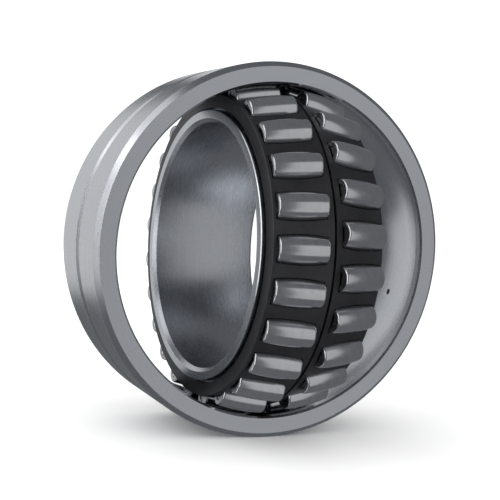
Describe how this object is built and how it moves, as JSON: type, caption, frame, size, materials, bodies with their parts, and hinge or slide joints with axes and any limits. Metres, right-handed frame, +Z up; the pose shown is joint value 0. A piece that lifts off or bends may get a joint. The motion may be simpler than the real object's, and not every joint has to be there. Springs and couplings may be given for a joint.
{
  "type": "spherical roller bearing",
  "caption": "Double-row self-aligning spherical roller bearing with barrel rollers, pressed window cages and a plain bore; the inner group swivels out of the outer ring.",
  "frame": {"origin": "the bearing's centre: the centre of the outer ring's spherical raceway, halfway along its width", "axes": "+Y along the outer ring's axis, away from its front face; +Z up, along the diameter that the inner group swivels about; +X completes the frame"},
  "size_m": [0.18, 0.1665, 0.18],
  "materials": {
    "ring_steel": "ground satin bearing steel",
    "roller_steel": "fine ground bearing steel",
    "cage_steel": "dark phosphated pressed steel sheet",
    "guide_iron": "machined sintered iron"
  },
  "bodies": {
    "outer_ring": {"outer_ring": "ring_steel"},
    "guide_ring": {"guide_ring": "guide_iron"},
    "inner_ring": {"inner_ring": "ring_steel"},
    "front_cage": {"front_cage": "cage_steel"},
    "rear_cage": {"rear_cage": "cage_steel"},
    "front_roller_01": {"front_roller_01": "roller_steel"},
    "front_roller_02": {"front_roller_02": "roller_steel"},
    "front_roller_03": {"front_roller_03": "roller_steel"},
    "front_roller_04": {"front_roller_04": "roller_steel"},
    "front_roller_05": {"front_roller_05": "roller_steel"},
    "front_roller_06": {"front_roller_06": "roller_steel"},
    "front_roller_07": {"front_roller_07": "roller_steel"},
    "front_roller_08": {"front_roller_08": "roller_steel"},
    "front_roller_09": {"front_roller_09": "roller_steel"},
    "front_roller_10": {"front_roller_10": "roller_steel"},
    "front_roller_11": {"front_roller_11": "roller_steel"},
    "front_roller_12": {"front_roller_12": "roller_steel"},
    "front_roller_13": {"front_roller_13": "roller_steel"},
    "front_roller_14": {"front_roller_14": "roller_steel"},
    "front_roller_15": {"front_roller_15": "roller_steel"},
    "front_roller_16": {"front_roller_16": "roller_steel"},
    "front_roller_17": {"front_roller_17": "roller_steel"},
    "front_roller_18": {"front_roller_18": "roller_steel"},
    "front_roller_19": {"front_roller_19": "roller_steel"},
    "front_roller_20": {"front_roller_20": "roller_steel"},
    "front_roller_21": {"front_roller_21": "roller_steel"},
    "front_roller_22": {"front_roller_22": "roller_steel"},
    "front_roller_23": {"front_roller_23": "roller_steel"},
    "front_roller_24": {"front_roller_24": "roller_steel"},
    "front_roller_25": {"front_roller_25": "roller_steel"},
    "rear_roller_01": {"rear_roller_01": "roller_steel"},
    "rear_roller_02": {"rear_roller_02": "roller_steel"},
    "rear_roller_03": {"rear_roller_03": "roller_steel"},
    "rear_roller_04": {"rear_roller_04": "roller_steel"},
    "rear_roller_05": {"rear_roller_05": "roller_steel"},
    "rear_roller_06": {"rear_roller_06": "roller_steel"},
    "rear_roller_07": {"rear_roller_07": "roller_steel"},
    "rear_roller_08": {"rear_roller_08": "roller_steel"},
    "rear_roller_09": {"rear_roller_09": "roller_steel"},
    "rear_roller_10": {"rear_roller_10": "roller_steel"},
    "rear_roller_11": {"rear_roller_11": "roller_steel"},
    "rear_roller_12": {"rear_roller_12": "roller_steel"},
    "rear_roller_13": {"rear_roller_13": "roller_steel"},
    "rear_roller_14": {"rear_roller_14": "roller_steel"},
    "rear_roller_15": {"rear_roller_15": "roller_steel"},
    "rear_roller_16": {"rear_roller_16": "roller_steel"},
    "rear_roller_17": {"rear_roller_17": "roller_steel"},
    "rear_roller_18": {"rear_roller_18": "roller_steel"},
    "rear_roller_19": {"rear_roller_19": "roller_steel"},
    "rear_roller_20": {"rear_roller_20": "roller_steel"},
    "rear_roller_21": {"rear_roller_21": "roller_steel"},
    "rear_roller_22": {"rear_roller_22": "roller_steel"},
    "rear_roller_23": {"rear_roller_23": "roller_steel"},
    "rear_roller_24": {"rear_roller_24": "roller_steel"},
    "rear_roller_25": {"rear_roller_25": "roller_steel"}
  },
  "joints": [
    {"name": "swivel", "type": "hinge", "parent": "outer_ring", "child": "guide_ring", "pos_m": [0, 0, 0], "axis": [0, 0, 1], "range_deg": [-3, 177]},
    {"name": "inner_spin", "type": "hinge", "parent": "guide_ring", "child": "inner_ring", "pos_m": [0, 0, 0], "axis": [0.9986, 0.0523, 0], "continuous": true},
    {"name": "front_cage_spin", "type": "hinge", "parent": "guide_ring", "child": "front_cage", "pos_m": [0, 0, 0], "axis": [0.9986, 0.0523, 0], "continuous": true},
    {"name": "rear_cage_spin", "type": "hinge", "parent": "guide_ring", "child": "rear_cage", "pos_m": [0, 0, 0], "axis": [0.9986, 0.0523, 0], "continuous": true},
    {"name": "front_roller_01_spin", "type": "hinge", "parent": "front_cage", "child": "front_roller_01", "pos_m": [-0.01096, -0.07585, 0.0046], "axis": [0.9898, -0.1423, 0.0119], "continuous": true},
    {"name": "front_roller_02_spin", "type": "hinge", "parent": "front_cage", "child": "front_roller_02", "pos_m": [-0.01114, -0.07235, 0.02315], "axis": [0.9893, -0.1332, 0.0597], "continuous": true},
    {"name": "front_roller_03_spin", "type": "hinge", "parent": "front_cage", "child": "front_roller_03", "pos_m": [-0.01156, -0.06436, 0.04025], "axis": [0.9882, -0.1126, 0.1038], "continuous": true},
    {"name": "front_roller_04_spin", "type": "hinge", "parent": "front_cage", "child": "front_roller_04", "pos_m": [-0.01219, -0.05236, 0.05481], "axis": [0.9866, -0.0817, 0.1414], "continuous": true},
    {"name": "front_roller_05_spin", "type": "hinge", "parent": "front_cage", "child": "front_roller_05", "pos_m": [-0.01299, -0.03713, 0.06594], "axis": [0.9845, -0.0424, 0.17], "continuous": true},
    {"name": "front_roller_06_spin", "type": "hinge", "parent": "front_cage", "child": "front_roller_06", "pos_m": [-0.01391, -0.01961, 0.07292], "axis": [0.9822, 0.0028, 0.188], "continuous": true},
    {"name": "front_roller_07_spin", "type": "hinge", "parent": "front_cage", "child": "front_roller_07", "pos_m": [-0.01489, -0.00091, 0.07532], "axis": [0.9796, 0.051, 0.1942], "continuous": true},
    {"name": "front_roller_08_spin", "type": "hinge", "parent": "front_cage", "child": "front_roller_08", "pos_m": [-0.01587, 0.0178, 0.07298], "axis": [0.9771, 0.0992, 0.1882], "continuous": true},
    {"name": "front_roller_09_spin", "type": "hinge", "parent": "front_cage", "child": "front_roller_09", "pos_m": [-0.01679, 0.03534, 0.06606], "axis": [0.9747, 0.1445, 0.1704], "continuous": true},
    {"name": "front_roller_10_spin", "type": "hinge", "parent": "front_cage", "child": "front_roller_10", "pos_m": [-0.01759, 0.05061, 0.05499], "axis": [0.9727, 0.1839, 0.1418], "continuous": true},
    {"name": "front_roller_11_spin", "type": "hinge", "parent": "front_cage", "child": "front_roller_11", "pos_m": [-0.01822, 0.06265, 0.04047], "axis": [0.971, 0.2149, 0.1044], "continuous": true},
    {"name": "front_roller_12_spin", "type": "hinge", "parent": "front_cage", "child": "front_roller_12", "pos_m": [-0.01864, 0.07071, 0.0234], "axis": [0.9699, 0.2357, 0.0603], "continuous": true},
    {"name": "front_roller_13_spin", "type": "hinge", "parent": "front_cage", "child": "front_roller_13", "pos_m": [-0.01883, 0.07428, 0.00486], "axis": [0.9695, 0.2449, 0.0125], "continuous": true},
    {"name": "front_roller_14_spin", "type": "hinge", "parent": "front_cage", "child": "front_roller_14", "pos_m": [-0.01877, 0.07313, -0.01398], "axis": [0.9696, 0.2419, -0.0361], "continuous": true},
    {"name": "front_roller_15_spin", "type": "hinge", "parent": "front_cage", "child": "front_roller_15", "pos_m": [-0.01846, 0.06733, -0.03195], "axis": [0.9704, 0.227, -0.0824], "continuous": true},
    {"name": "front_roller_16_spin", "type": "hinge", "parent": "front_cage", "child": "front_roller_16", "pos_m": [-0.01793, 0.05726, -0.04791], "axis": [0.9718, 0.201, -0.1235], "continuous": true},
    {"name": "front_roller_17_spin", "type": "hinge", "parent": "front_cage", "child": "front_roller_17", "pos_m": [-0.01722, 0.04354, -0.06086], "axis": [0.9736, 0.1656, -0.1569], "continuous": true},
    {"name": "front_roller_18_spin", "type": "hinge", "parent": "front_cage", "child": "front_roller_18", "pos_m": [-0.01635, 0.02703, -0.06998], "axis": [0.9759, 0.1231, -0.1805], "continuous": true},
    {"name": "front_roller_19_spin", "type": "hinge", "parent": "front_cage", "child": "front_roller_19", "pos_m": [-0.01539, 0.00878, -0.07471], "axis": [0.9783, 0.076, -0.1927], "continuous": true},
    {"name": "front_roller_20_spin", "type": "hinge", "parent": "front_cage", "child": "front_roller_20", "pos_m": [-0.01441, -0.01008, -0.07474], "axis": [0.9809, 0.0274, -0.1927], "continuous": true},
    {"name": "front_roller_21_spin", "type": "hinge", "parent": "front_cage", "child": "front_roller_21", "pos_m": [-0.01345, -0.02835, -0.07008], "axis": [0.9833, -0.0198, -0.1807], "continuous": true},
    {"name": "front_roller_22_spin", "type": "hinge", "parent": "front_cage", "child": "front_roller_22", "pos_m": [-0.01258, -0.04488, -0.06101], "axis": [0.9856, -0.0624, -0.1573], "continuous": true},
    {"name": "front_roller_23_spin", "type": "hinge", "parent": "front_cage", "child": "front_roller_23", "pos_m": [-0.01186, -0.05865, -0.04811], "axis": [0.9874, -0.0979, -0.1241], "continuous": true},
    {"name": "front_roller_24_spin", "type": "hinge", "parent": "front_cage", "child": "front_roller_24", "pos_m": [-0.01133, -0.06878, -0.03219], "axis": [0.9888, -0.124, -0.083], "continuous": true},
    {"name": "front_roller_25_spin", "type": "hinge", "parent": "front_cage", "child": "front_roller_25", "pos_m": [-0.01102, -0.07464, -0.01424], "axis": [0.9896, -0.1391, -0.0367], "continuous": true},
    {"name": "rear_roller_01_spin", "type": "hinge", "parent": "rear_cage", "child": "rear_roller_01", "pos_m": [0.01879, -0.07351, 0.01178], "axis": [0.9696, 0.2429, -0.0304], "continuous": true},
    {"name": "rear_roller_02_spin", "type": "hinge", "parent": "rear_cage", "child": "rear_roller_02", "pos_m": [0.01851, -0.06825, 0.02991], "axis": [0.9703, 0.2294, -0.0771], "continuous": true},
    {"name": "rear_roller_03_spin", "type": "hinge", "parent": "rear_cage", "child": "rear_roller_03", "pos_m": [0.01801, -0.05865, 0.04616], "axis": [0.9716, 0.2046, -0.119], "continuous": true},
    {"name": "rear_roller_04_spin", "type": "hinge", "parent": "rear_cage", "child": "rear_roller_04", "pos_m": [0.01731, -0.04532, 0.05951], "axis": [0.9734, 0.1702, -0.1535], "continuous": true},
    {"name": "rear_roller_05_spin", "type": "hinge", "parent": "rear_cage", "child": "rear_roller_05", "pos_m": [0.01646, -0.02909, 0.06912], "axis": [0.9756, 0.1284, -0.1783], "continuous": true},
    {"name": "rear_roller_06_spin", "type": "hinge", "parent": "rear_cage", "child": "rear_roller_06", "pos_m": [0.01551, -0.01099, 0.07439], "axis": [0.978, 0.0817, -0.1918], "continuous": true},
    {"name": "rear_roller_07_spin", "type": "hinge", "parent": "rear_cage", "child": "rear_roller_07", "pos_m": [0.01452, 0.00786, 0.07498], "axis": [0.9806, 0.0331, -0.1934], "continuous": true},
    {"name": "rear_roller_08_spin", "type": "hinge", "parent": "rear_cage", "child": "rear_roller_08", "pos_m": [0.01356, 0.02626, 0.07086], "axis": [0.9831, -0.0144, -0.1828], "continuous": true},
    {"name": "rear_roller_09_spin", "type": "hinge", "parent": "rear_cage", "child": "rear_roller_09", "pos_m": [0.01268, 0.04306, 0.06229], "axis": [0.9853, -0.0577, -0.1606], "continuous": true},
    {"name": "rear_roller_10_spin", "type": "hinge", "parent": "rear_cage", "child": "rear_roller_10", "pos_m": [0.01194, 0.0572, 0.04981], "axis": [0.9872, -0.0942, -0.1284], "continuous": true},
    {"name": "rear_roller_11_spin", "type": "hinge", "parent": "rear_cage", "child": "rear_roller_11", "pos_m": [0.01138, 0.0678, 0.03419], "axis": [0.9887, -0.1215, -0.0882], "continuous": true},
    {"name": "rear_roller_12_spin", "type": "hinge", "parent": "rear_cage", "child": "rear_roller_12", "pos_m": [0.01105, 0.07418, 0.01643], "axis": [0.9895, -0.138, -0.0424], "continuous": true},
    {"name": "rear_roller_13_spin", "type": "hinge", "parent": "rear_cage", "child": "rear_roller_13", "pos_m": [0.01095, 0.07596, -0.00237], "axis": [0.9898, -0.1425, 0.0061], "continuous": true},
    {"name": "rear_roller_14_spin", "type": "hinge", "parent": "rear_cage", "child": "rear_roller_14", "pos_m": [0.01111, 0.07301, -0.02101], "axis": [0.9894, -0.1349, 0.0542], "continuous": true},
    {"name": "rear_roller_15_spin", "type": "hinge", "parent": "rear_cage", "child": "rear_roller_15", "pos_m": [0.0115, 0.06552, -0.03834], "axis": [0.9884, -0.1156, 0.0989], "continuous": true},
    {"name": "rear_roller_16_spin", "type": "hinge", "parent": "rear_cage", "child": "rear_roller_16", "pos_m": [0.01211, 0.05397, -0.05326], "axis": [0.9868, -0.0858, 0.1373], "continuous": true},
    {"name": "rear_roller_17_spin", "type": "hinge", "parent": "rear_cage", "child": "rear_roller_17", "pos_m": [0.01289, 0.03907, -0.06483], "axis": [0.9848, -0.0474, 0.1672], "continuous": true},
    {"name": "rear_roller_18_spin", "type": "hinge", "parent": "rear_cage", "child": "rear_roller_18", "pos_m": [0.01379, 0.02176, -0.07233], "axis": [0.9824, -0.0028, 0.1865], "continuous": true},
    {"name": "rear_roller_19_spin", "type": "hinge", "parent": "rear_cage", "child": "rear_roller_19", "pos_m": [0.01477, 0.00314, -0.07528], "axis": [0.9799, 0.0452, 0.1941], "continuous": true},
    {"name": "rear_roller_20_spin", "type": "hinge", "parent": "rear_cage", "child": "rear_roller_20", "pos_m": [0.01575, -0.01563, -0.0735], "axis": [0.9774, 0.0937, 0.1896], "continuous": true},
    {"name": "rear_roller_21_spin", "type": "hinge", "parent": "rear_cage", "child": "rear_roller_21", "pos_m": [0.01668, -0.03337, -0.06711], "axis": [0.975, 0.1394, 0.1731], "continuous": true},
    {"name": "rear_roller_22_spin", "type": "hinge", "parent": "rear_cage", "child": "rear_roller_22", "pos_m": [0.0175, -0.04896, -0.0565], "axis": [0.9729, 0.1796, 0.1457], "continuous": true},
    {"name": "rear_roller_23_spin", "type": "hinge", "parent": "rear_cage", "child": "rear_roller_23", "pos_m": [0.01815, -0.06143, -0.04233], "axis": [0.9712, 0.2118, 0.1092], "continuous": true},
    {"name": "rear_roller_24_spin", "type": "hinge", "parent": "rear_cage", "child": "rear_roller_24", "pos_m": [0.0186, -0.06999, -0.02551], "axis": [0.97, 0.2338, 0.0658], "continuous": true},
    {"name": "rear_roller_25_spin", "type": "hinge", "parent": "rear_cage", "child": "rear_roller_25", "pos_m": [0.01882, -0.0741, -0.00709], "axis": [0.9695, 0.2444, 0.0183], "continuous": true}
  ],
  "couplings": [
    {"joint": "front_cage_spin", "follows": "inner_spin", "ratio": 0.45666},
    {"joint": "rear_cage_spin", "follows": "inner_spin", "ratio": 0.45666},
    {"joint": "front_roller_01_spin", "follows": "inner_spin", "ratio": -5.6674},
    {"joint": "front_roller_02_spin", "follows": "inner_spin", "ratio": -5.6674},
    {"joint": "front_roller_03_spin", "follows": "inner_spin", "ratio": -5.6674},
    {"joint": "front_roller_04_spin", "follows": "inner_spin", "ratio": -5.6674},
    {"joint": "front_roller_05_spin", "follows": "inner_spin", "ratio": -5.6674},
    {"joint": "front_roller_06_spin", "follows": "inner_spin", "ratio": -5.6674},
    {"joint": "front_roller_07_spin", "follows": "inner_spin", "ratio": -5.6674},
    {"joint": "front_roller_08_spin", "follows": "inner_spin", "ratio": -5.6674},
    {"joint": "front_roller_09_spin", "follows": "inner_spin", "ratio": -5.6674},
    {"joint": "front_roller_10_spin", "follows": "inner_spin", "ratio": -5.6674},
    {"joint": "front_roller_11_spin", "follows": "inner_spin", "ratio": -5.6674},
    {"joint": "front_roller_12_spin", "follows": "inner_spin", "ratio": -5.6674},
    {"joint": "front_roller_13_spin", "follows": "inner_spin", "ratio": -5.6674},
    {"joint": "front_roller_14_spin", "follows": "inner_spin", "ratio": -5.6674},
    {"joint": "front_roller_15_spin", "follows": "inner_spin", "ratio": -5.6674},
    {"joint": "front_roller_16_spin", "follows": "inner_spin", "ratio": -5.6674},
    {"joint": "front_roller_17_spin", "follows": "inner_spin", "ratio": -5.6674},
    {"joint": "front_roller_18_spin", "follows": "inner_spin", "ratio": -5.6674},
    {"joint": "front_roller_19_spin", "follows": "inner_spin", "ratio": -5.6674},
    {"joint": "front_roller_20_spin", "follows": "inner_spin", "ratio": -5.6674},
    {"joint": "front_roller_21_spin", "follows": "inner_spin", "ratio": -5.6674},
    {"joint": "front_roller_22_spin", "follows": "inner_spin", "ratio": -5.6674},
    {"joint": "front_roller_23_spin", "follows": "inner_spin", "ratio": -5.6674},
    {"joint": "front_roller_24_spin", "follows": "inner_spin", "ratio": -5.6674},
    {"joint": "front_roller_25_spin", "follows": "inner_spin", "ratio": -5.6674},
    {"joint": "rear_roller_01_spin", "follows": "inner_spin", "ratio": -5.6674},
    {"joint": "rear_roller_02_spin", "follows": "inner_spin", "ratio": -5.6674},
    {"joint": "rear_roller_03_spin", "follows": "inner_spin", "ratio": -5.6674},
    {"joint": "rear_roller_04_spin", "follows": "inner_spin", "ratio": -5.6674},
    {"joint": "rear_roller_05_spin", "follows": "inner_spin", "ratio": -5.6674},
    {"joint": "rear_roller_06_spin", "follows": "inner_spin", "ratio": -5.6674},
    {"joint": "rear_roller_07_spin", "follows": "inner_spin", "ratio": -5.6674},
    {"joint": "rear_roller_08_spin", "follows": "inner_spin", "ratio": -5.6674},
    {"joint": "rear_roller_09_spin", "follows": "inner_spin", "ratio": -5.6674},
    {"joint": "rear_roller_10_spin", "follows": "inner_spin", "ratio": -5.6674},
    {"joint": "rear_roller_11_spin", "follows": "inner_spin", "ratio": -5.6674},
    {"joint": "rear_roller_12_spin", "follows": "inner_spin", "ratio": -5.6674},
    {"joint": "rear_roller_13_spin", "follows": "inner_spin", "ratio": -5.6674},
    {"joint": "rear_roller_14_spin", "follows": "inner_spin", "ratio": -5.6674},
    {"joint": "rear_roller_15_spin", "follows": "inner_spin", "ratio": -5.6674},
    {"joint": "rear_roller_16_spin", "follows": "inner_spin", "ratio": -5.6674},
    {"joint": "rear_roller_17_spin", "follows": "inner_spin", "ratio": -5.6674},
    {"joint": "rear_roller_18_spin", "follows": "inner_spin", "ratio": -5.6674},
    {"joint": "rear_roller_19_spin", "follows": "inner_spin", "ratio": -5.6674},
    {"joint": "rear_roller_20_spin", "follows": "inner_spin", "ratio": -5.6674},
    {"joint": "rear_roller_21_spin", "follows": "inner_spin", "ratio": -5.6674},
    {"joint": "rear_roller_22_spin", "follows": "inner_spin", "ratio": -5.6674},
    {"joint": "rear_roller_23_spin", "follows": "inner_spin", "ratio": -5.6674},
    {"joint": "rear_roller_24_spin", "follows": "inner_spin", "ratio": -5.6674},
    {"joint": "rear_roller_25_spin", "follows": "inner_spin", "ratio": -5.6674}
  ]
}
